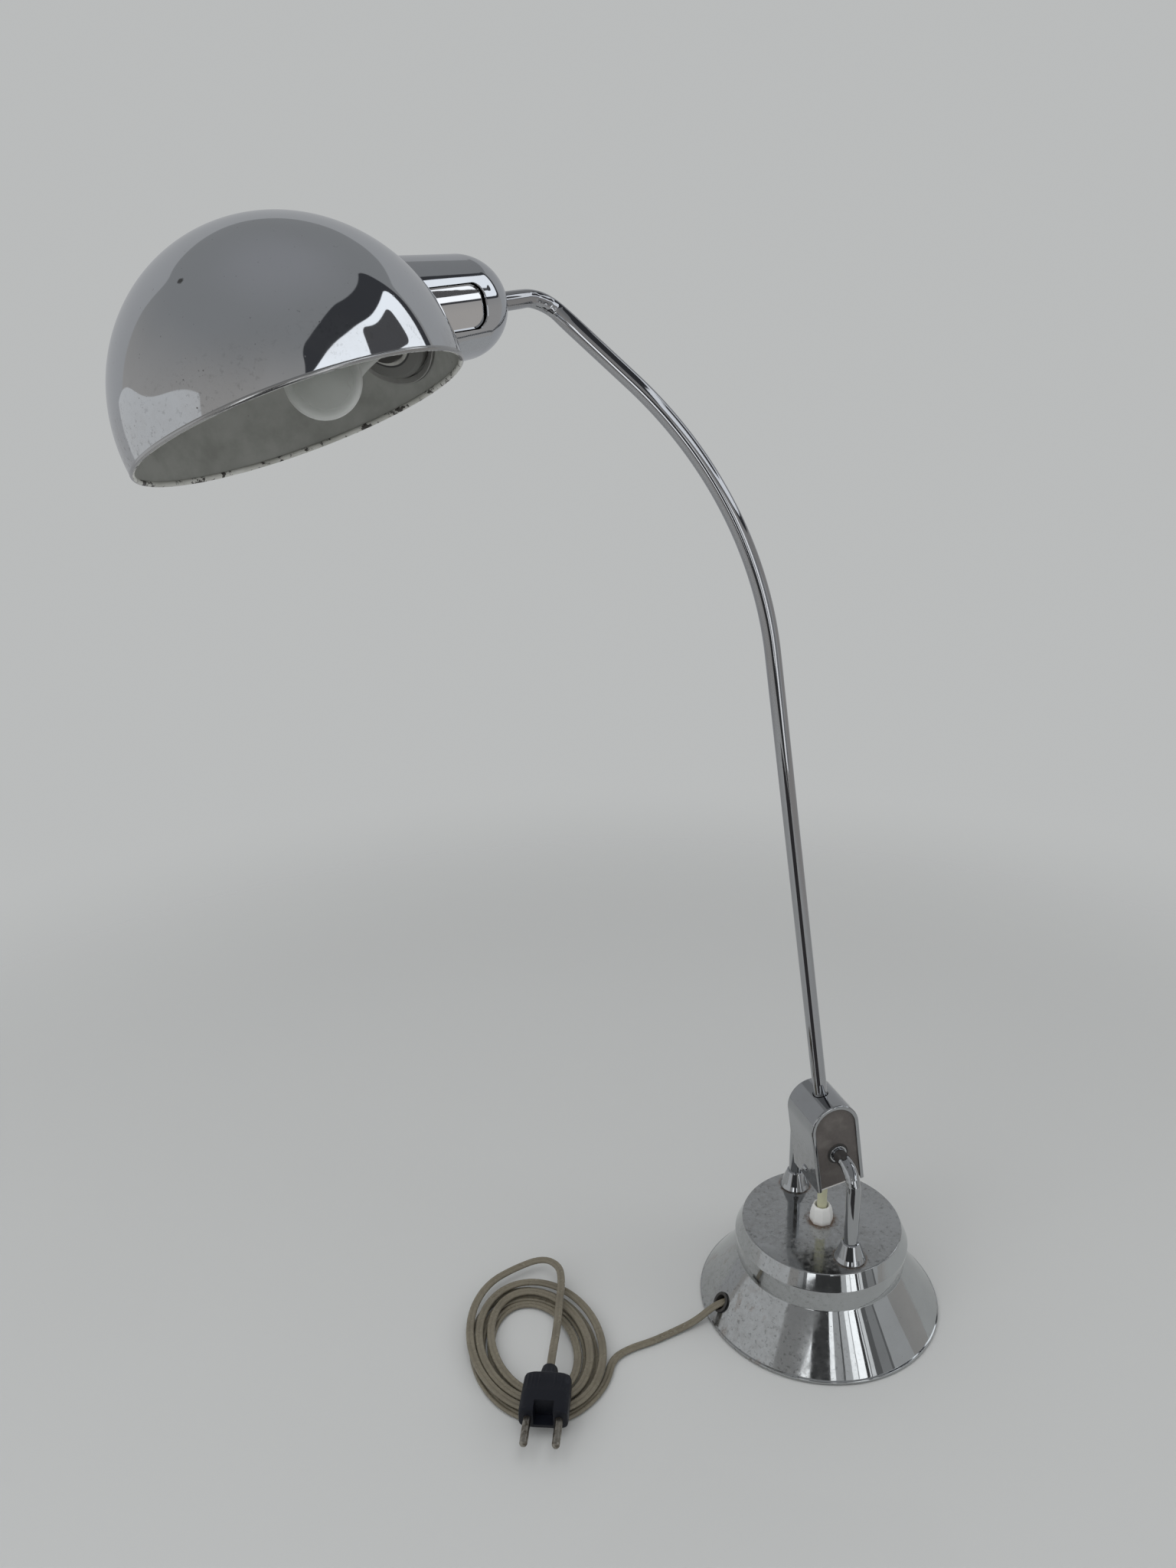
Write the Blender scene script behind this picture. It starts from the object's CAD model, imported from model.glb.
import math

import bmesh
import bpy
import numpy as np
from mathutils import Matrix, Vector


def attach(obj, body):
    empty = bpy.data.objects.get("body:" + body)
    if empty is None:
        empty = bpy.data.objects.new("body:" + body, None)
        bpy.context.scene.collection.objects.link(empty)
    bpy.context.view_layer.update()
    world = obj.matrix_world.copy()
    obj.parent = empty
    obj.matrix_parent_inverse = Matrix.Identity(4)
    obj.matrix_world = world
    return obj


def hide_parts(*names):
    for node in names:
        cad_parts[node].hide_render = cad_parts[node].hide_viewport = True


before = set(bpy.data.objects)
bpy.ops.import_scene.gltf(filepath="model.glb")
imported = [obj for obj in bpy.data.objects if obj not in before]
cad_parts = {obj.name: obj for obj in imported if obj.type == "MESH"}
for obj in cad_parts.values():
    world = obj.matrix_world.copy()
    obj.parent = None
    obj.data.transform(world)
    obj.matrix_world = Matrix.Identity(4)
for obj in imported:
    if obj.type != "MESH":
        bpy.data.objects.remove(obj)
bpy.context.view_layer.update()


# Camera. It stands where the photograph was taken from, a little above the shade,
# looking down at the table, on a 36 mm long side.
def put(name, data):
    """A new object in the scene."""
    made = bpy.data.objects.new(name, data)
    bpy.context.scene.collection.objects.link(made)
    return made


eye = Vector((-0.34017, -0.59438, 0.60948))
right = Vector((0.95306, -0.30205, -0.02107))
up = Vector((0.11923, 0.31039, 0.94312))
forward = Vector((0.27833, 0.90136, -0.33183))
camera = put("camera", bpy.data.cameras.new("camera"))
camera.data.lens = 27.82
camera.data.sensor_width = 36.0
camera.data.clip_start = 0.02
camera.matrix_world = Matrix((
    (right.x, up.x, -forward.x, eye.x),
    (right.y, up.y, -forward.y, eye.y),
    (right.z, up.z, -forward.z, eye.z),
    (0, 0, 0, 1)))
bpy.context.scene.camera = camera
bpy.context.scene.view_settings.view_transform = "Standard"


# Room. A pale matt floor that fades into a pale surround, and large soft lamps overhead.
# What shines mirrors a surround of its own, which has bright and dark patches in it.
class Flow:
    """A value coming out of a shader node. Arithmetic on it adds Math nodes."""

    def __init__(self, paint, socket):
        self.paint = paint
        self.socket = socket

    def math(self, operation, *others):
        values = dict(enumerate((self,) + others))
        return self.paint.node("ShaderNodeMath", {"operation": operation}, values)

    def __add__(self, other):
        return self.math("ADD", other)

    __radd__ = __add__

    def __sub__(self, other):
        return self.math("SUBTRACT", other)

    def __rsub__(self, other):
        return (self * -1.0) + other

    def __mul__(self, other):
        return self.math("MULTIPLY", other)

    def step(self, low, high):
        """Rises smoothly from 0 at low to 1 at high."""
        return self.paint.node("ShaderNodeMapRange", {"interpolation_type": "SMOOTHSTEP"},
                               {0: self, 1: low, 2: high, 3: 0.0, 4: 1.0})

    def within(self, low, high, soft):
        """1 between low and high, falling to 0 over soft beyond either."""
        return self.step(low - soft, low) * (1.0 - self.step(high, high + soft))


class Paint:
    """A node tree being filled: one method adds any node and returns its outputs."""

    def __init__(self, tree):
        self.tree = tree
        tree.nodes.clear()

    def node(self, kind, settings=None, values=None, output=0):
        made = self.tree.nodes.new(kind)
        for name, value in (settings or {}).items():
            setattr(made, name, value)
        for name, value in (values or {}).items():
            socket = made.inputs[name]
            if isinstance(value, Flow):
                self.tree.links.new(value.socket, socket)
            elif isinstance(value, tuple) and len(value) == 3 and socket.type == "RGBA":
                socket.default_value = value + (1.0,)
            else:
                socket.default_value = value
        return Flow(self, made.outputs[output]) if made.outputs else None

    def place(self):
        """Object coordinates, in metres in the lamp's frame."""
        return self.node("ShaderNodeTexCoord", output="Object")

    def axes(self, vector):
        return [self.node("ShaderNodeSeparateXYZ", values={0: vector}, output=i) for i in range(3)]

    def noise(self, vector, scale, detail=3.0, rough=0.55):
        return self.node("ShaderNodeTexNoise", None,
                         {"Vector": vector, "Scale": scale, "Detail": detail, "Roughness": rough})

    def cells(self, vector, scale):
        """Distance to the nearest of many scattered points, scale of them in a metre."""
        return self.node("ShaderNodeTexVoronoi", None, {"Vector": vector, "Scale": scale},
                         "Distance")

    def mix(self, share, first, second):
        return self.node("ShaderNodeMix", {"data_type": "RGBA", "clamp_factor": True},
                         {0: share, 6: first, 7: second}, output=2)

    def bump(self, height, strength, distance):
        return self.node("ShaderNodeBump", None,
                         {"Height": height, "Strength": strength, "Distance": distance})

    def coat(self, colour, rough, others=None):
        """Principled shader; others holds further inputs by name."""
        return self.node("ShaderNodeBsdfPrincipled", None,
                         {"Base Color": colour, "Roughness": rough, **(others or {})})

    def blend(self, share, first, second):
        return self.node("ShaderNodeMixShader", None, {0: share, 1: first, 2: second})

    def glow(self, kind, colour):
        return self.node(kind, None, {"Color": colour, "Strength": 1.0})


def finish_of(name, build):
    """A material whose node tree is filled by build(paint), which returns its shader."""
    material = bpy.data.materials.new(name)
    material.use_nodes = True
    paint = Paint(material.node_tree)
    paint.node("ShaderNodeOutputMaterial", values={"Surface": build(paint)})
    return material


def floor_finish(p):
    place = p.place()
    x, y, z = p.axes(place)
    far = ((x + 0.12) * (x + 0.12) + y * y).math("SQRT")
    grain = p.noise(place, 900.0, 2.0) + p.noise(place, 7.0, 2.0)
    colour = p.mix(grain * 0.05, (0.53, 0.535, 0.527), (0.45, 0.455, 0.45))
    return p.blend(far.step(0.55, 1.1), p.coat(colour, 0.9), p.node("ShaderNodeBsdfTransparent"))


floor_mesh = bpy.data.meshes.new("floor")
floor_mesh.from_pydata([(-1.4, -1.2, 0), (1.2, -1.2, 0), (1.2, 1.2, 0), (-1.4, 1.2, 0)],
                       [], [(0, 1, 2, 3)])
floor_mesh.materials.append(finish_of("matt_floor", floor_finish))
floor = put("floor", floor_mesh)
floor.location.z = -0.0002

for name, spot, aim, size, watts in (
        ("lamp_over", (-0.5, -0.5, 1.9), (-0.1, 0, 0.2), 1.6, 14.0),
        ("lamp_left", (-1.7, -0.7, 1.2), (-0.1, 0, 0.3), 1.1, 7.0),
        ("lamp_right", (1.5, -0.9, 1.1), (-0.1, 0, 0.3), 1.0, 5.0)):
    lamp = bpy.data.lights.new(name, "AREA")
    lamp.size = size
    lamp.energy = watts
    lamp.color = (0.97, 0.985, 1.0)
    holder = put(name, lamp)
    holder.matrix_world = (Matrix.Translation(spot)
                           @ (Vector(aim) - Vector(spot)).to_track_quat("-Z", "Y")
                           .to_matrix().to_4x4())
    holder.visible_glossy = False

world = bpy.data.worlds.new("surround")
world.use_nodes = True
bpy.context.scene.world = world
p = Paint(world.node_tree)
ray = p.node("ShaderNodeTexCoord", output="Generated")
dx, dy, dz = p.axes(ray)
turn = dx.math("ARCTAN2", dy * -1.0) * (180 / math.pi)
rise = dz.math("ARCSINE") * (180 / math.pi)
turn = turn + (p.noise(ray, 2.0, 0.0) - 0.5) * 9.0
rise = rise + (p.noise(ray, 2.4, 0.0) - 0.5) * 6.0
room = p.mix(rise.step(-5.0, 45.0), (0.40, 0.39, 0.38), (0.27, 0.277, 0.285))
room = p.mix(rise.step(50.0, 85.0), room, (0.305, 0.31, 0.325))
pale_ring = (1.0 - turn.within(-124.0, 104.0, 12.0)) * (1.0 - rise.step(34.0, 46.0))
room = p.mix(pale_ring.step(0.42, 0.54), room, (0.40, 0.408, 0.42))
dark_patch = turn.within(10.0, 102.0, 12.0) * rise.within(20.0, 50.0, 12.0)
dark_patch = dark_patch * (1.0 - (rise - turn * 0.62).step(26.0, 40.0))
room = p.mix(dark_patch.step(0.44, 0.54), room, (0.05, 0.052, 0.058))
bright_patch = (turn - rise * 1.14).step(-21.0, -7.0) * (1.0 - turn.step(97.0, 109.0))
bright_patch = bright_patch * rise.within(21.0, 40.0, 8.0)
bright_patch = bright_patch * (1.0 - (rise - turn * 0.35).step(18.0, 30.0))
room = p.mix(bright_patch.step(0.42, 0.52), room, (1.25, 1.3, 1.36))
inner_patch = turn.within(57.0, 83.0, 9.0) * rise.within(27.0, 37.0, 6.0)
room = p.mix(inner_patch.step(0.44, 0.54), room, (0.09, 0.09, 0.095))
plain, shiny, seen = (p.glow("ShaderNodeBackground", colour) for colour in (
    (0.50, 0.505, 0.51), room, (0.49, 0.50, 0.50)))
by_camera, by_gloss, through = (p.node("ShaderNodeLightPath", output="Is %s Ray" % kind)
                                for kind in ("Camera", "Glossy", "Transmission"))
unseen = p.blend(by_gloss, plain, shiny)
p.node("ShaderNodeOutputWorld",
       values={"Surface": p.blend((by_camera + through).math("MINIMUM", 1.0), unseen, seen)})


# Cards. Glowing sheets that only shiny surfaces see: upright strips behind the camera, which
# run as bright and dark lines down the skirt and the tubes, a pale sheet to the left, and a
# dark fan on the floor, which gives the arm and the posts their dark core.
def glossy_card(name, tone_name, edges, colour):
    """Sheet between two edges, (2, columns, 3) points in metres, seen only in mirrors."""
    columns = edges.shape[1]
    index = np.arange(columns - 1)
    mesh = bpy.data.meshes.new(name)
    mesh.from_pydata(edges.reshape(-1, 3).tolist(), [], np.stack(
        [index, index + 1, index + columns + 1, index + columns], -1).tolist())
    mesh.materials.append(finish_of(tone_name, lambda p: p.glow("ShaderNodeEmission", colour)))
    card = put(name, mesh)
    for kind in ("camera", "diffuse", "transmission", "shadow"):
        setattr(card, "visible_" + kind, False)


strip_edges = [-1.33, -1.08, -0.93, -0.64, -0.27, -0.19, -0.07, -0.045, 0.06, 0.14, 0.155, 0.27,
               0.32, 0.345, 0.36, 0.43, 0.55, 0.78, 0.84, 1.80]
strip_tones = [0.42, 0.22, 1.75, 0.06, 1.7, 0.50, 0.10, 0.62, 1.6, 0.5, 1.85, 0.06, 1.1, 0.12,
               0.95, 0.15, 0.30, 0.17, 0.47]
cards = [((x0, -1.0, 0.0), (x1, -1.0, 0.0), 0.62, tone)
         for x0, x1, tone in zip(strip_edges, strip_edges[1:], strip_tones)]
cards.append(((-1.28, -0.80, 0.0), (-0.05, -0.80, 0.0), 0.17, 0.05))
cards.append(((-1.17, -0.56, 0.0), (-1.15, 0.75, 0.0), 0.70, 0.62))
share = np.linspace(0, 1, 25)[:, None]
for number, (start, end, height, tone) in enumerate(cards):
    wavy = 0.035 if height > 0.65 else 0.0
    foot = np.array(start) * (1 - share) + np.array(end) * share
    rise = height + wavy * np.sin(9.0 * share + 0.6) - 2.6 * wavy * share ** 3
    glossy_card("card_%d" % number, "card_tone_%d" % number,
                np.stack([foot, foot + np.array([0, 0, 1]) * rise]),
                (0.98 * tone, tone, 1.02 * tone))
fan_turn, fan_reach = np.meshgrid(np.radians(np.linspace(-58, -6, 14)), [0.16, 0.80])
glossy_card("dark_floor", "dark_floor_tone",
            np.stack([fan_reach * np.sin(fan_turn), -fan_reach * np.cos(fan_turn),
                      0 * fan_turn + 0.0004], -1), (0.05, 0.048, 0.05))

# Cord. Flat twin flex in an olive-brown sheath, about 1.8 m of it: out through the
# eyelet in the base, along the table, wound loosely by hand, and into the plug on top.
mm = 0.001
cord_rest = 1.9
cord_exit = 13.4
turns_in, turns_across, turns_out = 2.6, 0.5, 2.483
total_turns = turns_in + turns_across + turns_out


def circle(count):
    """Angles evenly spaced round a circle, without the last."""
    return np.linspace(0, 2 * math.pi, count, endpoint=False)


def coil_centre(turns):
    """Centre line of the wound cord after some turns: two layers of ovals, in then out.
    x = X + half_x cos(angle), y = Y + half_y sin(angle), with both halves less the inset."""
    pitch, layer_rise, last_rise, last_turns = 6.5, 4.5, 2.6, 0.45
    middle_x, middle_y, half_x, half_y = -197.0, 12.0, 44.0, 59.0
    share = np.clip((turns - turns_in) / turns_across, 0, 1)
    inset = np.where(turns <= turns_in, pitch * turns,
                     np.where(turns <= turns_in + turns_across,
                              pitch * (turns_in + turns_across * share * (1 - share)),
                              pitch * (turns_in - (turns - turns_in - turns_across) * 1.06)))
    last = np.clip((turns - total_turns + last_turns) / last_turns, 0, 1)
    rise = layer_rise * (3 * share ** 2 - 2 * share ** 3) + last_rise * last ** 2
    shift = np.clip((turns - turns_in) / (turns_across + turns_out), 0, 1)
    angle = -np.radians(60.0 + 360.0 * turns)
    wobble = 0.7 * np.sin(angle * 0.37)
    half_x = half_x - inset + wobble + 2.0 * shift
    half_y = half_y - inset - wobble + 5.0 * shift
    return np.stack([middle_x + half_x * np.cos(angle) + 3.0 * shift,
                     middle_y + half_y * np.sin(angle) + 4.0 * shift,
                     cord_rest + rise + 0.0 * angle], -1)


plug_origin = np.array([-196.0, -20.0, 15.8])
lead_route = [(-66, 0, cord_exit), (-75, 0, cord_exit), (-90, -0.4, 3.6),
              (-106, -2.6, cord_rest), (-123, -6.0, cord_rest), (-139, -6.9, cord_rest),
              (-152.5, -11.5, cord_rest), (-161.5, -27.6, cord_rest)]
tail_route = [(-172.5, 83.4, 10.2), (-164, 69, 13.0), (-167, 53, 13.2), (-174.5, 34, 13.2),
              (-182, 13, 13.8), (-190.3, -6.1, 15.8), tuple(plug_origin)]
route = np.vstack([lead_route, coil_centre(np.linspace(0.0, total_turns, 82)), tail_route]) * mm

flex_curve = bpy.data.curves.new("flex", "CURVE")
flex_curve.dimensions = "3D"
flex_curve.twist_mode = "Z_UP"
flex_curve.resolution_u = 6
strand = flex_curve.splines.new("NURBS")
strand.points.add(len(route) - 1)
strand.points.foreach_set("co", np.hstack([route, np.ones((len(route), 1))]).ravel())
strand.order_u = 3
strand.use_endpoint_u = True

section = bpy.data.curves.new("flex_section", "CURVE")
section.dimensions = "2D"
angle = circle(40)
core, web = 1.3, 0.62
across = 2 * core * np.cos(angle)
lobe = np.sqrt(np.maximum(core ** 2 - (np.abs(across) - core) ** 2, 0.0))
high = np.sign(np.round(np.sin(angle), 9)) * np.maximum(lobe, np.where(np.abs(across) < 1, web, 0))
outline = section.splines.new("POLY")
outline.points.add(len(angle) - 1)
outline.points.foreach_set("co", np.stack([across * mm, high * mm, 0 * angle, 0 * angle + 1],
                                          -1).ravel())
outline.use_cyclic_u = True
section_object = put("flex_section", section)
section_object.hide_render = True
flex_curve.bevel_mode = "OBJECT"
flex_curve.bevel_object = section_object
flex_curve.use_fill_caps = True
flex = put("flex", flex_curve)


def sheath_finish(p):
    grain = p.noise(p.place(), 420.0, 4.0)
    dirt = p.noise(p.place(), 60.0, 3.0).step(0.45, 0.7)
    colour = p.mix(grain, (0.125, 0.110, 0.078), (0.20, 0.178, 0.133))
    colour = p.mix(dirt * 0.5, colour, (0.115, 0.10, 0.072))
    rough = 0.19 + grain * 0.10 + dirt * 0.12
    return p.coat(colour, rough, {"Normal": p.bump(grain, 0.12, 0.0004), "IOR": 1.5})


flex_curve.materials.append(finish_of("olive_sheath", sheath_finish))
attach(flex, "base")
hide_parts("cord_lead", "cord_coil", "cord_tail")


# Plug. A flat black moulding, ribbed for the fingers, with a recess between its two
# bosses, that lies on the coil; two round nickelled pins are pressed into it.
def surface(points, closed=False):
    """Grid of rings (rows, columns, 3) in millimetres to vertices in metres and quads; the
    last ring joins the first where it is closed."""
    rows, columns = points.shape[:2]
    index = np.arange(rows * columns).reshape(rows, columns)
    index = np.hstack([index, index[:, :1]])
    if closed:
        index = np.vstack([index, index[:1]])
    quads = np.stack([index[:-1, :-1], index[1:, :-1], index[1:, 1:], index[:-1, 1:]], -1)
    return points.reshape(-1, 3) * mm, quads.reshape(-1, 4)


def closed_mesh(name, shell):
    """Mesh from (vertices, quads), welded, its open ends filled, facing outwards."""
    vertices, quads = shell
    mesh = bpy.data.meshes.new(name)
    mesh.from_pydata(vertices.tolist(), [], quads.tolist())
    work = bmesh.new()
    work.from_mesh(mesh)
    bmesh.ops.remove_doubles(work, verts=work.verts, dist=1e-6)
    open_edges = [e for e in work.edges if e.is_boundary]
    if open_edges:
        bmesh.ops.holes_fill(work, edges=open_edges, sides=0)
    bmesh.ops.recalc_face_normals(work, faces=work.faces)
    work.to_mesh(mesh)
    work.free()
    return mesh


def soften(mesh, crease=35.0):
    """Shades a mesh smooth, but for edges sharper than crease degrees."""
    mesh.shade_smooth()
    mesh.set_sharp_from_angle(angle=math.radians(crease))


def piece(name, shell, material, body, slot, *nodes, crease=35.0):
    """Object from (vertices, quads) that rides on its body and replaces its nodes."""
    mesh = closed_mesh(name, shell)
    soften(mesh, crease)
    mesh.materials.append(material)
    made = put(name, mesh)
    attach(made, body)
    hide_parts(*nodes)
    return made


def joined(shells):
    """Several (vertices, quads) as one."""
    starts = np.cumsum([0] + [len(vertices) for vertices, quads in shells])
    return (np.vstack([vertices for vertices, quads in shells]),
            np.vstack([quads + start for (vertices, quads), start in zip(shells, starts)]))


plug_turn = math.radians(-112.3)
plug_axes = np.array([[math.cos(plug_turn), math.sin(plug_turn), 0],
                      [-math.sin(plug_turn), math.cos(plug_turn), 0], [0, 0, 1.0]])


def on_plug(points):
    """Points along, across and above the plug's axis, in the lamp's frame."""
    return plug_origin + points @ plug_axes


def slab_section(t, half_width, half_height, power):
    """Superellipse: |y/w|^n + |z/h|^n = 1, by its angle."""
    c, s = np.cos(t), np.sin(t)
    return (half_width * np.sign(c) * np.abs(c) ** (2 / power),
            half_height * np.sign(s) * np.abs(s) ** (2 / power))


along = np.array([0, 0.2, 1, 7.0, 7.8, 8.3, 9.2, 10.5, 11, 16, 20.5, 21.5, 24, 32, 35.5, 37.2,
                  37.8, 38.0])
wide = np.array([4.2, 4.8, 5.0, 6.0, 9.0, 12.6, 14.0, 14.5, 14.6, 14.8, 14.9, 14.9, 15.0, 15, 15,
                 14.8, 14.4, 13.6])
tall = np.array([4.2, 4.8, 5.0, 5.6, 5.9, 6.2, 6.5, 6.6, 6.7, 6.75, 6.8, 6.95, 7.0, 7, 7, 6.9,
                 6.6, 5.9])
power = np.array([2, 2, 2, 2.2, 3, 4.5, 5, 5, 5, 5, 5, 5, 5, 5, 5, 5, 5, 5])
t = circle(96)
t = t - 0.15 * np.sin(4 * t)
y, z = slab_section(t[None, :], wide[:, None], tall[:, None], power[:, None])
rib_depth, rib_pitch = 0.26, 2.3
ribbed = np.clip(np.minimum(along - 9.5, 21.5 - along), 0, 1)[:, None] * (np.abs(y) < 13.2)
z = z + rib_depth * ribbed * np.sign(z) * np.cos(y * 2 * math.pi / rib_pitch)
plug_points = np.stack([along[:, None] + 0 * y, y, z], -1)


def plug_finish(p):
    place = p.place()
    grain = p.noise(place, 700.0, 3.0)
    scuff = p.noise(place, 160.0, 5.0, 0.7).step(0.56, 0.72)
    colour = p.mix(scuff * 0.4, (0.005, 0.006, 0.010), (0.035, 0.037, 0.045))
    rough = 0.38 + grain * 0.15 + scuff * 0.2
    return p.coat(colour, rough, {"Normal": p.bump(grain, 0.2, 0.0003),
                                  "Specular IOR Level": 0.28})


def cut_away(target, shell):
    """Takes a closed (vertices, quads) out of a piece, for good."""
    cutter = put("cutter", closed_mesh("cutter", shell))
    change = target.modifiers.new("cut", "BOOLEAN")
    change.operation = "DIFFERENCE"
    change.solver = "EXACT"
    change.object = cutter
    bpy.context.view_layer.update()
    shaped = target.evaluated_get(bpy.context.evaluated_depsgraph_get())
    result = bpy.data.meshes.new_from_object(shaped)
    target.modifiers.remove(change)
    target.data = result
    bpy.data.objects.remove(cutter)
    soften(target.data)


def box_shell(low, high):
    """A box as a grid: its four corners in y and z, carried along x from low to high."""
    ring = np.array([[low[1], low[2]], [high[1], low[2]], [high[1], high[2]], [low[1], high[2]]])
    rows = np.array([low[0], high[0]])[:, None, None]
    return np.concatenate([rows + np.zeros((2, 4, 1)), np.broadcast_to(ring, (2, 4, 2))], -1)


plug = piece("plug_moulding", surface(on_plug(plug_points)),
             finish_of("black_moulding", plug_finish), "base", "plug_black", "plug_body")
cut_away(plug, surface(on_plug(box_shell((30.5, -6.0, -4.4), (60, 6.0, 20)))))


def pin_finish(p):
    tarnish = p.noise(p.place(), 300.0, 4.0).step(0.4, 0.7)
    colour = p.mix(tarnish, (0.34, 0.32, 0.28), (0.13, 0.11, 0.085))
    return p.coat(colour, 0.28 + tarnish * 0.25, {"Metallic": 1.0})


pin_outline = np.array([(31, 0), (31, 2.4), (55.2, 2.4), (55.8, 2.3), (56.5, 1.9), (56.9, 1.1),
                        (57, 0)])
pin_shells = []
for side in (-9.5, 9.5):
    x, radius = pin_outline[:, :1], pin_outline[:, 1:]
    grid = np.stack([x + 0 * circle(40), side + radius * np.cos(circle(40)),
                     radius * np.sin(circle(40))], -1)
    pin_shells.append(surface(on_plug(grid)))
pins = piece("plug_pins_round", joined(pin_shells), finish_of("tarnished_nickel", pin_finish),
             "base", "pin_brass", "plug_pins")


# Base. One chromed steel spinning: a steep skirt with a thin rolled rim, a short band,
# a shoulder and a flat disc. The chrome is clouded and pitted, most of all on the left.
disc_top = 61.6
post_place = 38.6


def unit(vectors):
    return vectors / np.linalg.norm(vectors, axis=-1, keepdims=True)


def rounded_outline(corners, radii, steps=6, support=0.25):
    """Closed 2-D outline: each corner becomes an arc, with a support point beside it."""
    corners = np.asarray(corners, float)
    out = []
    for i, corner in enumerate(corners):
        before = corners[i - 1] - corner
        after = corners[(i + 1) % len(corners)] - corner
        a, b = np.linalg.norm(before), np.linalg.norm(after)
        u, v = unit(before), unit(after)
        half = math.acos(np.clip(u @ v, -1, 1)) / 2
        reach = min(radii[i] / max(math.tan(half), 1e-6), 0.45 * a, 0.45 * b)
        if reach < 1e-6 or half > math.pi / 2 - 0.01:
            out.append(corner)
            continue
        t = np.linspace(0, 1, steps)[:, None]
        radius = reach * math.tan(half)
        middle = corner + unit(u + v) * radius / math.sin(half)
        start, end = corner + u * reach, corner + v * reach
        out.append(start + u * min(support, 0.2 * a))
        sweep = (start - middle) * (1 - t) + (end - middle) * t
        out.extend(middle + unit(sweep) * radius)
        out.append(end + v * min(support, 0.2 * b))
    return np.array(out)


def rings(around, radius, height):
    """Points at radius and height round an axis: r cos, r sin, h."""
    return np.stack(np.broadcast_arrays(radius * np.cos(around), radius * np.sin(around),
                                        height), -1)


def turned_shell(outline, middle=(0, 0, 0), axes=np.eye(3), steps=192, closed=True):
    """Outline of (radius, height) carried round the third of the given axes."""
    grid = rings(circle(steps), outline[:, :1], outline[:, 1:])
    return surface(np.asarray(middle) + grid @ np.asarray(axes), closed)


def chrome(name, cloud, pits, worn=None, tint=(0.60, 0.615, 0.635), stain=None,
           dull=(0.40, 0.385, 0.365), chips=0.0):
    """Plated steel gone dull in clouds, with dark pin pits: worn raises both where it is 1,
    stain adds brown marks, and chips is how many bare marks there may be in a metre."""
    def build(p):
        place = p.place()
        drift = p.noise(place, 32.0, 5.0, 0.6).step(0.42, 0.72)
        fine = p.noise(place, 260.0, 5.0, 0.65)
        extra = worn(p, place) if worn else fine * 0.0
        haze = (drift * cloud + extra * (fine.step(0.25, 0.80) * 0.6 + 0.3)).math("MINIMUM", 1.0)
        cell = p.cells(place, 620.0)
        pick = p.noise(place, 310.0, 1.0).step(0.60, 0.72)
        pit = (1.0 - cell.step(0.10, 0.24)) * pick * (pits + extra * 1.6).math("MINIMUM", 1.0)
        speck = p.noise(place, 430.0, 4.0, 0.7).step(0.56, 0.64) * extra
        colour = p.mix(haze * 0.7, tint, dull)
        colour = p.mix(speck * 0.55, colour, (0.10, 0.10, 0.095))
        colour = p.mix(pit * 0.9, colour, (0.07, 0.06, 0.055))
        rough = 0.035 + haze * haze * 0.24 + pit * 0.3
        if stain:
            mark = stain(p, place)
            colour = p.mix(mark, colour, (0.20, 0.12, 0.07))
            rough = rough + mark * 0.35
        if chips:
            ragged = p.cells(place, chips) + (p.noise(place, 900.0, 3.0) - 0.5) * 0.05
            picked = p.noise(place, chips * 0.7, 1.0).step(0.46, 0.48)
            chip = (1.0 - ragged.step(0.045, 0.075)) * picked
            colour = p.mix(chip * 0.85, colour, (0.05, 0.048, 0.045))
            rough = rough + chip * 0.4
        relief = p.bump(p.noise(place, 45.0, 2.0) + pit * -0.3, 0.05, 0.001)
        return p.coat(colour, rough, {"Metallic": 1.0 - haze * haze * 0.2, "Normal": relief})
    return finish_of(name, build)


def divided(outline, longest):
    """Closed outline with points added, so that its runs aren't much over longest."""
    runs = []
    for a, b in zip(outline, np.roll(outline, -1, 0)):
        count = max(1, int(np.linalg.norm(b - a) / longest))
        runs.append(a + (b - a) * (np.arange(count) / count)[:, None])
    return np.vstack(runs)


shell_outline = divided(rounded_outline(
    [(76.4, 1.7), (76.4, 0.6), (80.0, 0.6), (80.0, 2.5), (78.9, 3.1), (55.4, 35.7),
     (56.8, 51.3), (52.2, disc_top), (5.0, disc_top), (5.0, 60.5), (51.4, 60.5), (55.6, 51.2),
     (54.2, 35.4), (77.6, 3.4), (77.6, 1.7)],
    [0.2, 0.5, 1.0, 0.9, 0.5, 0.9, 0.7, 0.9, 0, 0, 0.4, 0.4, 0.4, 0.4, 0.2]), 2.2)


def shell_wear(p, place):
    x, y, z = p.axes(place)
    left = 1.0 - (x * 0.9 + y * 0.35).step(-0.075, -0.012)
    top = z.step(0.0605, 0.0614)
    smooth = 1.0 - p.noise(place, 17.0, 2.0).step(0.46, 0.60) * 0.55
    return (left * 0.95).math("MAXIMUM", top * smooth)


def shell_stain(p, place):
    x, y, z = p.axes(place)
    ring = 1.0 - (x * x + y * y).math("SQRT").step(0.0080, 0.0125)
    beside = y.math("ABSOLUTE") - post_place * mm
    foot = 1.0 - (x * x + beside * beside).math("SQRT").step(0.0102, 0.0122)
    drawn = p.node("ShaderNodeVectorMath", {"operation": "MULTIPLY"}, {0: place, 1: (1, 1, 0.3)})
    streak = p.noise(drawn, 75.0, 4.0, 0.7).step(0.56, 0.68) * (1.0 - x.step(-0.072, -0.030)) * 0.35
    marks = (ring + foot * 0.8) * z.step(0.060, 0.0612) * p.noise(place, 350.0, 4.0).step(0.3, 0.6)
    return (marks * 0.8).math("MAXIMUM", streak)


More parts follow.
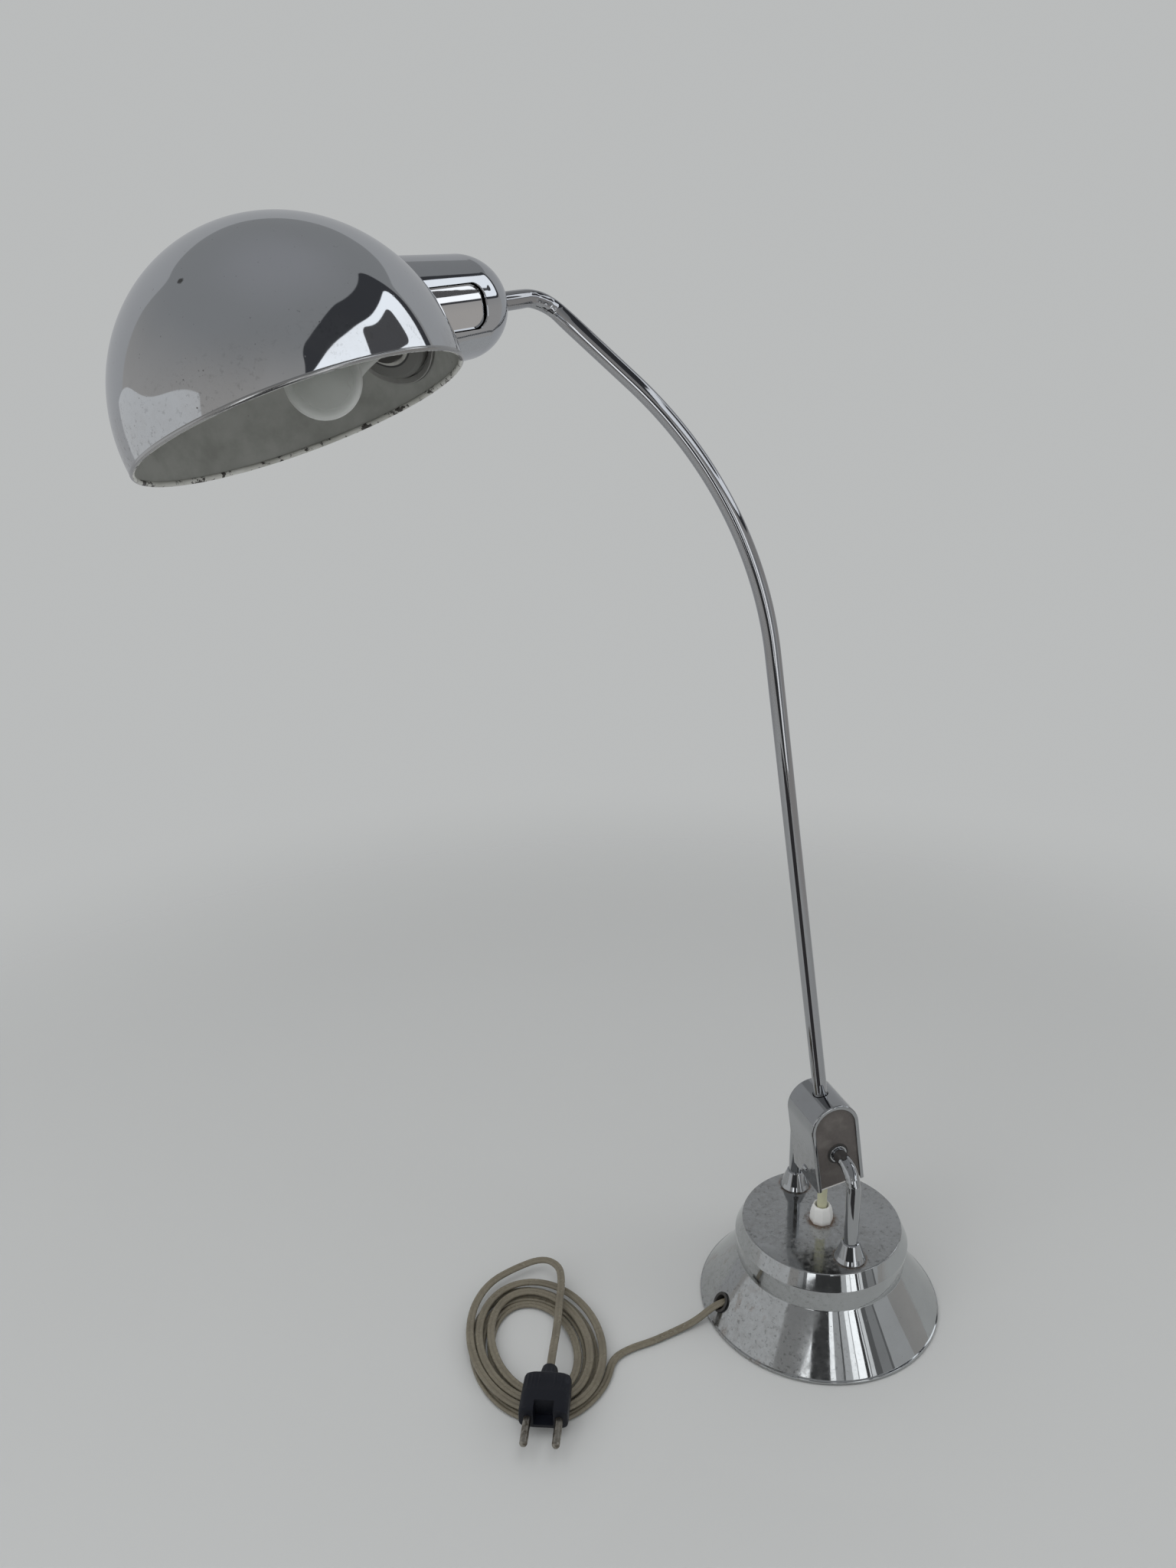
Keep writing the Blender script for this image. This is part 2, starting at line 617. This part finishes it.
shell = piece("base_spinning", turned_shell(shell_outline, steps=256),
              chrome("clouded_chrome", 0.25, 0.5, shell_wear, (0.50, 0.515, 0.52), shell_stain,
                     (0.28, 0.278, 0.27)), "base", "chrome_plate", "base_shell", crease=60.0)
slope = math.atan2(24.6, 33.1)
eyelet_axes = np.array([[math.sin(slope), 0, math.cos(slope)], [0, 1, 0],
                        [-math.cos(slope), 0, math.sin(slope)]])
eyelet_spot = np.array([-71.9, 0.0, 13.5])
cut_away(shell, turned_shell(np.array([(0, -8), (5.2, -8), (5.2, 8), (0, 8)]), eyelet_spot,
                             eyelet_axes, 48, closed=False))


# Eyelet. A dark rubber grommet, moulded with a groove round it and snapped into the hole in
# the skirt, which keeps the flex off the steel's edge.
def grained(name, pattern, first, second, rough, spread=0.0, metal=0.0, relief=None):
    """Plain finish: one noise, by its scale, detail and roughness, runs between two colours
    and adds spread to the roughness; relief is the strength and distance of a bump."""
    def build(p):
        grain = p.noise(p.place(), *pattern)
        others = {"Normal": p.bump(grain, *relief)} if relief else {}
        return p.coat(p.mix(grain, first, second), rough + grain * spread if spread else rough,
                      {"Metallic": metal, **others})
    return finish_of(name, build)


rubber = grained(
    "aged_rubber", (500.0, 3.0), (0.018, 0.017, 0.016), (0.045, 0.042, 0.038), 0.5, 0.15)
eyelet_outline = rounded_outline([(4.6, -2.6), (6.7, -2.6), (6.7, -1.6), (5.4, -1.6), (5.4, 0.0),
                                  (6.7, 0.0), (6.6, 1.0), (4.6, 1.0)],
                                 [0.3, 0.3, 0.3, 0.1, 0.1, 0.35, 0.5, 0.5])
piece("eyelet_ring", turned_shell(eyelet_outline, eyelet_spot, eyelet_axes, 64), rubber,
      "base", "black_rubber", "cord_grommet")


# Ferrules and posts. Two chromed steel tubes come up through conical ferrules on the disc,
# bend over at the top and enter the saddle as its axle.
def tube_ring(path, across, sides):
    """Unit circle square to the path at each of its points; across is never along it."""
    heading = unit(np.gradient(path, axis=0))
    first = unit(np.cross(heading, across))
    second = np.cross(heading, first)
    around = circle(sides)[:, None]
    return first[:, None] * np.cos(around) + second[:, None] * np.sin(around)


def tube_shell(path, radius, across, sides=40):
    """Tube along a path, with one radius, one for each point, or one for each side too."""
    radius = np.asarray(radius, float)
    if radius.ndim < 2:
        radius = radius.reshape(-1, 1) * np.ones((len(path), 1))
    return surface(path[:, None] + tube_ring(path, across, sides) * radius[..., None])


def bent_path(points, radii, spacing=1.2):
    """Straight runs joined by tangent arcs, sampled at an even spacing."""
    def straight_run(start, end):
        count = max(2, int(np.linalg.norm(end - start) / (spacing * 4)))
        return start + (end - start) * (np.arange(1, count + 1) / count)[:, None]

    points = np.asarray(points, float)
    out = [points[:1]]
    for before, corner, after, radius in zip(points, points[1:], points[2:], radii):
        arrive, leave = unit(corner - before), unit(after - corner)
        turn_angle = math.acos(np.clip(arrive @ leave, -1, 1))
        start = corner - arrive * radius * math.tan(turn_angle / 2)
        inward = unit(leave - arrive * (arrive @ leave))
        out.append(straight_run(out[-1][-1], start))
        count = max(8, int(turn_angle * radius / spacing))
        q = turn_angle * (np.arange(1, count + 1) / count)[:, None]
        out.append(start + radius * (arrive * np.sin(q) + inward * (1 - np.cos(q))))
    out.append(straight_run(out[-1][-1], points[-1]))
    return np.vstack(out)


tube_radius = 4.55
tube_hole = 4.62
axle_height = 125.5
bright = chrome("bright_chrome", 0.16, 0.25, None, (0.42, 0.43, 0.44))
bell = rounded_outline([(tube_hole, disc_top), (10.2, disc_top), (10.1, 62.6), (8.9, 65.2),
                        (5.7, 74.0), (tube_hole, 74.6)], [0.1, 0.4, 0.8, 3.0, 0.8, 0.1])
for side, word in ((-1, "front"), (1, "back")):
    beside = post_place * side
    path = bent_path([(0, beside, 48), (0, beside, axle_height), (0, 11.5 * side, axle_height)],
                     [13.5], 0.7)
    along_bend = np.clip((path[:, 2] - 108.0) / 10.0, 0, 1) * (np.abs(path[:, 1]) > 26)
    ripple = tube_radius + along_bend * (0.05 * np.sin(path[:, 2] * 2.4) - 0.12)
    piece("post_tube_" + word, tube_shell(path, ripple, (1.0, 0, 0), 48), bright, "base",
          "chrome_plate", "post_" + word)
    piece("ferrule_cone_" + word, turned_shell(bell, (0, beside, 0), steps=96), bright,
          "base", "chrome_plate", "ferrule_" + word)


# Gland. A small white moulded nut with eight soft sides that grips the inner cable,
# which rises yellowed into the saddle.
def white_finish(p):
    grain = p.noise(p.place(), 300.0, 3.0)
    x, y, z = p.axes(p.place())
    foot = (1.0 - z.step(disc_top * mm, 0.0645)) * 0.6
    colour = p.mix(grain * 0.3, (0.80, 0.80, 0.78), (0.66, 0.65, 0.61))
    colour = p.mix(foot * grain, colour, (0.30, 0.20, 0.12))
    return p.coat(colour, 0.32 + grain * 0.1)


gland_rows = np.array([(3.3, 52), (4.9, 52), (4.9, 61.5), (7.3, disc_top), (7.5, 62.0),
                       (7.45, 65.0), (7.2, 68.0), (6.75, 70.6), (6.2, 72.6), (5.6, 73.7),
                       (5.1, 74.0), (4.6, 73.8), (4.3, 72.8), (3.9, 70.0), (3.3, 69.0)])
around = circle(128)
facet = np.cos(math.pi / 8) / np.cos((around + math.pi / 8) % (math.pi / 4) - math.pi / 8)
flatness = np.array([0, 0, 0, 1, 1, 1, 1, 1, 0.95, 0.8, 0.6, 0.2, 0, 0, 0])[:, None]
swell = 1 + flatness * (facet * 1.03 - 1)
gland_grid = rings(around, gland_rows[:, :1] * swell, gland_rows[:, 1:])
piece("gland_collar", surface(gland_grid, True),
      finish_of("white_moulding", white_finish), "base", "white_plastic", "cable_gland",
      crease=50.0)
cable_sheath = grained(
    "yellowed_sheath", (260.0, 3.0), (0.66, 0.66, 0.47), (0.54, 0.53, 0.36), 0.42, 0.1)
cable_path = bent_path([(-34, 0, cord_exit), (0, 0, cord_exit), (0, 0, 116)], [22.0])
piece("inner_cable", tube_shell(cable_path, 3.2, (0, 1.0, 0), 32), cable_sheath, "base",
      "cable_sheath", "internal_cable")

# Saddle. A chromed strip bent into a tall arch, its edges rolled soft, over two dark brown
# side plates that turn on the posts' ends; a round-head screw holds each leg to a strap.
lean = math.radians(8.36)
saddle_axes = np.array([[math.cos(lean), 0, math.sin(lean)], [0, 1, 0],
                        [-math.sin(lean), 0, math.cos(lean)]])
axle = np.array([0, 0, axle_height])


def on_saddle(points):
    """Points across, along and above the axle in the leaning saddle, in the lamp's frame."""
    return axle + points @ saddle_axes


bend = np.linspace(0, math.pi, 72)
leg = np.linspace(-25.1, 19.2, 26)
straight = np.ones(len(leg))
out_x = np.concatenate([-straight, -np.cos(bend), straight])
out_z = np.concatenate([0 * straight, np.sin(bend), 0 * straight])
arch_x = 16.6 * out_x
arch_z = np.concatenate([leg, 19.7 + 16.6 * np.sin(bend), leg[::-1]])
strip = divided(rounded_outline(
    [(-17.5, 0), (17.5, 0), (17.5, -2.7), (16.6, -2.7), (16.4, -1.4), (-16.4, -1.4),
     (-16.6, -2.7), (-17.5, -2.7)], [1.1, 1.1, 0.35, 0.3, 0.2, 0.2, 0.3, 0.35], steps=7), 1.4)
cover_grid = np.stack([arch_x[:, None] + out_x[:, None] * strip[None, :, 1],
                       np.broadcast_to(strip[None, :, 0], (len(arch_x), len(strip))),
                       arch_z[:, None] + out_z[:, None] * strip[None, :, 1]], -1)


def cover_wear(p, place):
    x, y, z = p.axes(place)
    return (1.0 - z.step(0.118, 0.140)) * (1.0 - x.step(-0.012, 0.004)) * 0.8


cover = piece("saddle_arch", surface(on_saddle(cover_grid)),
              chrome("saddle_chrome", 0.3, 0.4, cover_wear, (0.41, 0.42, 0.43),
                     dull=(0.29, 0.287, 0.28)), "saddle", "chrome_plate", "saddle_cover")
cut_away(cover, turned_shell(np.array([(0, 22), (5.0, 22), (5.0, 44), (0, 44)]), axle,
                             saddle_axes, 64, closed=False))


def brown_finish(p):
    place = p.place()
    grain = p.noise(place, 420.0, 5.0, 0.7)
    cloud = p.noise(place, 70.0, 3.0)
    colour = p.mix(grain, (0.085, 0.075, 0.070), (0.15, 0.135, 0.125))
    colour = p.mix(cloud.step(0.5, 0.75) * 0.6, colour, (0.20, 0.185, 0.17))
    x, y, z = p.axes(place)
    height = (z - axle_height * mm) * math.cos(lean) - x * math.sin(lean)
    bare = 1.0 - height.step(-0.0237, -0.0233)
    colour = p.mix(bare, colour, (0.62, 0.61, 0.59))
    return p.coat(colour, 0.42 + grain * 0.2 - bare * 0.2,
                  {"Metallic": 0.35 - bare * 0.35, "Normal": p.bump(grain, 0.25, 0.0003)})


def dress(node_name, material):
    """Gives a carried-over CAD node its finish."""
    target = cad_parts[node_name]
    target.data.materials.clear()
    target.data.materials.append(material)


brown = finish_of("brown_plate", brown_finish)
dress("side_plate_front", brown)
dress("side_plate_back", brown)
collar_outline = rounded_outline([(tube_hole, -0.6), (7.1, -0.6), (7.1, 0.0), (6.0, 0.0),
                                  (6.0, 2.0), (tube_hole, 2.0)], [0.2, 0.3, 0.1, 0.1, 0.2, 0.2])
bright_outline = rounded_outline([(4.60, -1.3), (5.9, -1.3), (5.9, -0.55), (4.60, -0.55)],
                                 [0.3, 0.4, 0.1, 0.1])
for side, word in ((-1, "front"), (1, "back")):
    axes = np.array([[1, 0, 0], [0, 0, 1], [0, side, 0]]) @ saddle_axes
    for label, profile, look in (("axle_ring_", collar_outline, rubber),
                                 ("axle_rim_", bright_outline, bright)):
        outline = np.stack([profile[:, 0], 16.5 - profile[:, 1]], -1)
        piece(label + word, turned_shell(outline, axle, axes, 64), look, "saddle",
              "black_rubber", "axle_bush_" + word)

head_outline = np.array([(0, 1.75), (0.7, 1.72), (1.5, 1.5), (2.2, 1.1), (2.75, 0.5), (3.0, 0.1),
                         (3.0, 0.0), (1.5, 0.0), (1.5, -4.0), (0, -4.0)])
screw_height = -17.5
screw_shells = []
for side in (-1, 1):
    axes = np.array([[0, 1, 0], [0, 0, side], [side, 0, 0]]) @ saddle_axes
    spot = on_saddle(np.array([16.6 * side, 0, screw_height]))
    screw_shells.append(turned_shell(head_outline, spot, axes, 40, closed=False))
screws = piece("saddle_screws", joined(screw_shells), bright, "saddle", "zinc", "cover_screws")
for side in (-1, 1):
    slot_box = box_shell((17.7, -4.0, screw_height - 0.45), (19.5, 4.0, screw_height + 0.45))
    cut_away(screws, surface(on_saddle(slot_box * (side, 1, 1))))

# Fixings inside and below. The weight, plate, nuts, straps and the block that holds the
# arm are plain zinc-plated or cast pieces; the plate is covered by a felt disc.
zinc = grained(
    "dull_zinc", (240.0, 4.0), (0.42, 0.42, 0.41), (0.30, 0.295, 0.28), 0.38, 0.2, 1.0)
iron = grained(
    "cast_iron", (380.0, 5.0, 0.7), (0.05, 0.047, 0.045), (0.12, 0.10, 0.085), 0.7, metal=0.4,
    relief=(0.4, 0.0006))
felt = grained(
    "green_felt", (1500.0, 5.0, 0.8), (0.03, 0.06, 0.035), (0.07, 0.115, 0.07), 0.95,
    relief=(0.6, 0.0006))
for name in ("bottom_plate", "plate_screws", "post_washers", "post_nuts", "gland_nut",
             "axle_nuts", "cover_straps", "arm_collar", "arm_nut", "tip_nut"):
    dress(name, zinc)
for name in ("base_weight", "arm_block"):
    dress(name, iron)
dress("felt_pad", felt)
dress("terminal_block", finish_of("dark_moulding", plug_finish))

# Arm. One chromed steel tube: straight up from the saddle, a long easy bend, a straight
# reach, then a tight elbow, pinched where it was bent, and a stub into the lamp head.
swing = math.radians(180 - 22.0)
arm_axes = np.array([[math.cos(swing), math.sin(swing), 0], [-math.sin(swing), math.cos(swing), 0],
                     [0, 0, 1.0]]) @ saddle_axes
turn_main = math.radians(39.81)
rise_length, reach_length, stub_length = 417.8, 148.6, 59.3
elbow = axle + np.array([reach_length * math.sin(turn_main), 0,
                         rise_length + reach_length * math.cos(turn_main)]) @ arm_axes
az, el, roll = (math.radians(v) for v in (32.3, 6.2, 21.06))
head_x = np.array([math.cos(el) * math.cos(az), math.cos(el) * math.sin(az), math.sin(el)])
upright = np.array([-math.sin(el) * math.cos(az), -math.sin(el) * math.sin(az), math.cos(el)])
sideways = np.array([-math.sin(az), math.cos(az), 0.0])
head_z = math.cos(roll) * upright + math.sin(roll) * sideways
head_y = np.cross(head_z, head_x)
head_spot = elbow - stub_length * head_x
arm_path = bent_path([axle + 5.0 * arm_axes[2], axle + rise_length * arm_axes[2], elbow,
                      head_spot + 7.0 * head_x], [240.8, 19.0], 1.1)
arm_sides = 56
to_eye = unit(np.array(eye) / mm - elbow)
near_elbow = np.linalg.norm(arm_path - elbow, axis=1)
pinch = np.exp(-((near_elbow - 9.0) / 6.5) ** 2)
facing = np.clip(tube_ring(arm_path, arm_axes[1], arm_sides) @ to_eye, 0, 1) ** 2
arm_radius = tube_radius - pinch[:, None] * (0.25 + 0.85 * facing)
arm_radius += 0.16 * pinch[:, None] * facing * np.sin(near_elbow * 1.7)[:, None]
piece("arm_bent_tube", tube_shell(arm_path, arm_radius, arm_axes[1], arm_sides),
      chrome("arm_chrome", 0.14, 0.15, None, (0.42, 0.425, 0.44)), "arm",
      "chrome_plate", "arm_tube")
dress("arm_flex", cable_sheath)
dress("head_flex", cable_sheath)

# Housing. A chromed bullet that closes the lampholder in: its open end is trimmed to the
# bowl, and a round-cornered window in its side shows the polished sleeve inside.
head_axes = np.array([head_x, head_y, head_z])
bowl_radius, bowl_back, bowl_drop = 72.0, 108.9, 28.5
bowl_middle = head_spot + np.array([-bowl_back, 0, -bowl_drop]) @ head_axes
barrel_radius = 23.4
taper = 2.8 / 62.0


def barrel_rows(radius, rows):
    """Straight-sided barrel from the bowl's sphere to x=0: x runs from where the ray at
    radius r and angle q meets the sphere, (x+B)^2 + (r cos q)^2 + (r sin q+D)^2 = R^2."""
    q = circle(180)
    x = np.full_like(q, -50.0)
    for _ in range(30):
        r = radius - taper * x
        reach = bowl_radius ** 2 - (r * np.cos(q)) ** 2 - (r * np.sin(q) + bowl_drop) ** 2
        x = 0.5 * x + 0.5 * (-bowl_back + np.sqrt(reach))
    share = np.linspace(0, 1, rows)[:, None]
    return q, x[None, :] * (1 - share)


def round_x(q, x, r):
    """Rings of radius r round the x axis."""
    return np.roll(rings(q, r, x), 1, -1)


def bullet_grid(inset):
    """The bullet's wall from the bowl back, then its dome down to a hole round the tube."""
    radius = barrel_radius - inset
    q, x = barrel_rows(radius, 44)
    tilt = np.linspace(0, 1, 40)[1:, None] * math.acos(5.0 / radius)
    dome = round_x(q, (24.6 - inset) * np.sin(tilt), radius * np.cos(tilt))
    return np.concatenate([round_x(q, x, radius - taper * x), dome])


def head_shell(grid):
    """Closed shell of a grid in the head's own axes."""
    return surface(head_spot + grid @ head_axes, True)


housing = piece("housing_bullet", head_shell(np.concatenate([bullet_grid(0.0),
                                                             bullet_grid(1.0)[::-1]])),
                chrome("housing_chrome", 0.2, 0.15, None, (0.56, 0.575, 0.60)),
                "head", "chrome_plate", "housing")
window_turn = math.radians(-180 + 18.4)
window_axes = np.array([[1, 0, 0], [0, -math.sin(window_turn), math.cos(window_turn)],
                        [0, math.cos(window_turn), math.sin(window_turn)]])
window_outline = rounded_outline([(-80, -10), (-3, -10), (-3, 10), (-80, 10)], [0, 6.5, 6.5, 0],
                                 steps=12)
window_grid = np.stack([np.stack([window_outline[:, 0], window_outline[:, 1],
                                  0 * window_outline[:, 0] + h], -1) for h in (8.0, 40.0)])
cut_away(housing, surface(head_spot + (window_grid @ window_axes) @ head_axes))


# Sleeve. A second, slimmer polished cup, drawn from sheet and slipped into the housing, with
# a rounded end; its wall shows through the window.
def sleeve_grid(inset):
    """The cup's wall from the bowl back, a rounded corner and its end, down to its hole."""
    end_x, corner_radius, radius = -5.0, 2.2 - inset, 22.0 - inset
    q, x = barrel_rows(radius, 40)
    x = x + end_x * np.linspace(0, 1, 40)[:, None]
    curl = np.linspace(0, math.pi / 2, 14)[1:, None]
    corner = round_x(q, end_x + corner_radius * np.sin(curl),
                     19.8 + corner_radius * np.cos(curl))
    end = round_x(q[None, :], end_x + corner_radius, 9.5)
    return np.concatenate([round_x(q, x, radius - taper * (x - end_x)), corner, end])


piece("sleeve_cup", head_shell(np.concatenate([sleeve_grid(0.0), sleeve_grid(0.8)[::-1]])),
      chrome("sleeve_polish", 0.08, 0.05, None, (0.74, 0.735, 0.74)), "head",
      "chrome_plate", "inner_sleeve")

# Bowl. A spun steel bowl, a little more than half a ball, chromed outside and stove-painted
# white inside; the paint has gone grey and is chipped along the rolled lip.
lamp_tilt = math.radians(21.2)
lamp_z = np.array([math.cos(lamp_tilt), 0, math.sin(lamp_tilt)])
lamp_x = np.array([math.sin(lamp_tilt), 0, -math.cos(lamp_tilt)])
lamp_axes = np.array([lamp_x, [0, 1, 0], lamp_z]) @ head_axes
bowl_inside = 71.2


def bowl_rows(radius, rows):
    """Sphere about the holder's axis, from the holder's hole to the rim plane: a point at
    polar angle a and turn q is on the plane where A cos a + B cos q sin a = -0.1."""
    q = circle(240)
    lift, swing_z = lamp_z[2], lamp_x[2] * np.cos(q)
    size = np.hypot(lift, swing_z)
    end = np.arctan2(swing_z, lift) + np.arccos(-7.2 / radius / size)
    start = math.asin(13.0 / radius)
    share = np.linspace(0, 1, rows)[:, None]
    a = start + (end - start) * share
    return radius * np.stack([np.sin(a) * np.cos(q), np.sin(a) * np.sin(q),
                              np.cos(a) + 0 * q], -1)


def from_bowl(p, axis):
    """Offset from the bowl's middle, and how far it goes along an axis of the head."""
    x, y, z = p.axes(p.node("ShaderNodeVectorMath", {"operation": "SUBTRACT"},
                            {0: p.place(), 1: tuple(bowl_middle * mm)}))
    return x, y, z, x * float(axis[0]) + y * float(axis[1]) + z * float(axis[2])


def off_axis(x, y, z, height):
    """Distance from the axis along which the offset goes as far as height."""
    return (x * x + y * y + z * z - height * height).math("SQRT")


def bowl_wear(p, place):
    x, y, z, height = from_bowl(p, head_z)
    low = 1.0 - height.step(-0.004, 0.022)
    left = 1.0 - (x * 0.95 + y * -0.3).step(-0.055, 0.0)
    spot = p.noise(place, 22.0, 3.0).step(0.5, 0.62)
    return low * left * 0.6 + low * spot * 0.35


bowl_grid = np.concatenate([bowl_rows(bowl_radius, 170), bowl_rows(bowl_inside, 150)[::-1]])
bowl = piece("bowl_shell", surface(bowl_middle + bowl_grid @ lamp_axes, True),
             chrome("bowl_chrome", 0.10, 0.35, bowl_wear, chips=42.0), "head",
             "shade_metal", "shade", crease=60.0)


def paint_finish(p):
    place = p.place()
    grime = p.noise(place, 55.0, 5.0, 0.65)
    specks = (1.0 - p.cells(place, 260.0).step(0.06, 0.16)) * p.noise(place, 130.0).step(0.6, 0.7)
    x, y, z, height = from_bowl(p, head_z)
    lip = (1.0 - height.step(-0.0072, -0.0055)) * p.noise(place, 150.0, 4.0).step(0.52, 0.6)
    colour = p.mix(grime.step(0.35, 0.75), (0.42, 0.425, 0.40), (0.31, 0.315, 0.29))
    colour = p.mix((specks * 0.6 + lip).math("MINIMUM", 1.0), colour, (0.06, 0.055, 0.05))
    return p.coat(colour, 0.42 + grime * 0.15)


bowl.data.materials.append(finish_of("bowl_paint", paint_finish))
centres = np.empty(len(bowl.data.polygons) * 3)
bowl.data.polygons.foreach_get("center", centres)
depth = np.linalg.norm(centres.reshape(-1, 3) - bowl_middle * mm, axis=1)
mid_wall = (bowl_radius + bowl_inside) / 2 * mm
bowl.data.polygons.foreach_set("material_index", (depth < mid_wall).astype(np.int32))


def lip_finish(p):
    place = p.place()
    chip = p.noise(place, 130.0, 5.0, 0.7).step(0.53, 0.56)
    grime = p.noise(place, 40.0, 3.0)
    reach = off_axis(*from_bowl(p, head_z))
    outside = (reach + p.noise(place, 220.0, 3.0) * 0.0006).step(0.0712, 0.0714)
    colour = p.mix(grime.step(0.3, 0.7), (0.70, 0.70, 0.66), (0.48, 0.48, 0.44))
    colour = p.mix(chip, colour, (0.05, 0.045, 0.04))
    colour = p.mix(outside, colour, (0.42, 0.42, 0.42))
    return p.coat(colour, 0.4 - outside * 0.2, {"Metallic": outside})


bead = circle(14)[:, None]
lip_grid = rings(circle(360), 70.85 + np.cos(bead), -7.0 + 1.2 * np.sin(bead))
piece("bowl_lip", surface(bowl_middle + lip_grid @ head_axes, True),
      finish_of("lip_paint", lip_finish), "head", "shade_metal", "shade")


# Lampholder. A pale moulded body through the bowl, held by a ring inside it, in the middle
# of a thin flange; its hollow is dark, and a sprung contact closes it.
def pale_finish(p):
    grime = p.noise(p.place(), 180.0, 4.0)
    colour = p.mix(grime.step(0.35, 0.7), (0.56, 0.555, 0.52), (0.38, 0.37, 0.34))
    reach = off_axis(*from_bowl(p, lamp_axes[2]))
    colour = p.mix(reach.step(0.0148, 0.0156), colour, (0.15, 0.15, 0.14))
    colour = p.mix(reach.within(0.0152, 0.0158, 0.0003), colour, (0.03, 0.03, 0.03))
    return p.coat(colour, 0.4 + grime * 0.15)


pale = finish_of("pale_moulding", pale_finish)
dark_holder = grained(
    "dark_holder", (200.0, 3.0), (0.03, 0.028, 0.026), (0.06, 0.055, 0.05), 0.5, 0.1)
seat = math.sqrt(bowl_inside ** 2 - 22.0 ** 2)
ring_outline = rounded_outline([(13.0, 62.0), (20.6, 62.0), (22.0, 63.4), (22.0, seat - 0.1),
                                (13.0, 69.9)], [0.8, 0.9, 0.9, 0.2, 0.2])
piece("holder_ring", turned_shell(ring_outline, bowl_middle, lamp_axes, 128), pale, "head",
      "ceramic", "lampholder_ring")
lip_in, lip_out = (math.sqrt(71.0 ** 2 - r ** 2) for r in (22.8, 26.0))
flange_outline = rounded_outline([(22.8, lip_in - 1.4), (25.6, lip_out - 1.3), (26.0, lip_out),
                                  (22.8, lip_in)], [0.3, 0.4, 0.1, 0.1])
piece("holder_flange", turned_shell(flange_outline, bowl_middle, lamp_axes, 128), zinc, "head",
      "zinc", "shade_flange")
body_outline = rounded_outline([(9.6, 60.0), (13.0, 60.0), (13.0, 94.0), (0.001, 94.0),
                                (0.001, 90.0), (9.6, 90.0)], [0.6, 0.3, 1.5, 0, 0, 0.3])
piece("holder_body", turned_shell(body_outline, bowl_middle, lamp_axes, 96),
      dark_holder, "head", "ceramic", "lampholder_body")
dress("lampholder_contact", zinc)
dress("head_bush", rubber)


# Bulb. A small round glass lamp, frosted inside, blown with a short neck that is cemented
# into a threaded aluminium cap and screwed into the holder.
def frost_finish(p):
    rim = p.node("ShaderNodeLayerWeight", None, {"Blend": 0.5}, "Facing")
    mist = p.noise(p.place(), 90.0, 3.0)
    cover = (0.20 + rim.step(0.30, 0.98) * 0.55 + mist * 0.12).math("MINIMUM", 1.0)
    clear = p.node("ShaderNodeBsdfTransparent", None, {"Color": (0.93, 0.94, 0.93)})
    return p.blend(cover, clear, p.coat((0.80, 0.81, 0.79), 0.28 + mist * 0.08))


globe_radius, globe_height, glass, neck_radius, neck_top = 16.5, 20.0, 0.8, 8.2, 62.0
globe = np.linspace(math.pi, math.radians(40), 60)
globe_outline = np.stack([globe_radius * np.sin(globe),
                          globe_height + globe_radius * np.cos(globe)], -1)
share = np.linspace(0, 1, 24)[1:, None]
shoulder_r, shoulder_z = globe_outline[-1]
neck_z = shoulder_z + (neck_top - shoulder_z) * share
neck_r = neck_radius + (shoulder_r - neck_radius) * np.exp(-share * 4.2) * (1 - share)
bulb_outline = np.vstack([globe_outline, np.hstack([neck_r, neck_z])])
inside = bulb_outline[::-1].copy()
inside[:, 0] = np.maximum(inside[:, 0] - glass, 0)
inside[:, 1] = globe_height + (inside[:, 1] - globe_height) * np.where(
    inside[:, 1] < globe_height, 1 - glass / globe_radius, 1.0)
piece("bulb_globe", turned_shell(np.vstack([bulb_outline, inside]), bowl_middle, lamp_axes, 128,
                                 closed=False),
      finish_of("frosted_glass", frost_finish), "head", "frosted_glass", "bulb_glass")
thread, thread_pitch = np.linspace(61.0, 82.0, 90), 3.0
ridge = 7.0 + 0.35 * np.cos((thread - thread[0]) * 2 * math.pi / thread_pitch)
cap_outline = np.vstack([[(0, 60.0), (7.35, 60.0)], np.stack([ridge, thread], -1),
                         [(6.6, 83.6), (4.0, 84.2), (3.0, 85.9), (0, 86.0)]])
piece("bulb_thread", turned_shell(cap_outline, bowl_middle, lamp_axes, 72, closed=False), zinc,
      "head", "cap_alloy", "bulb_cap")
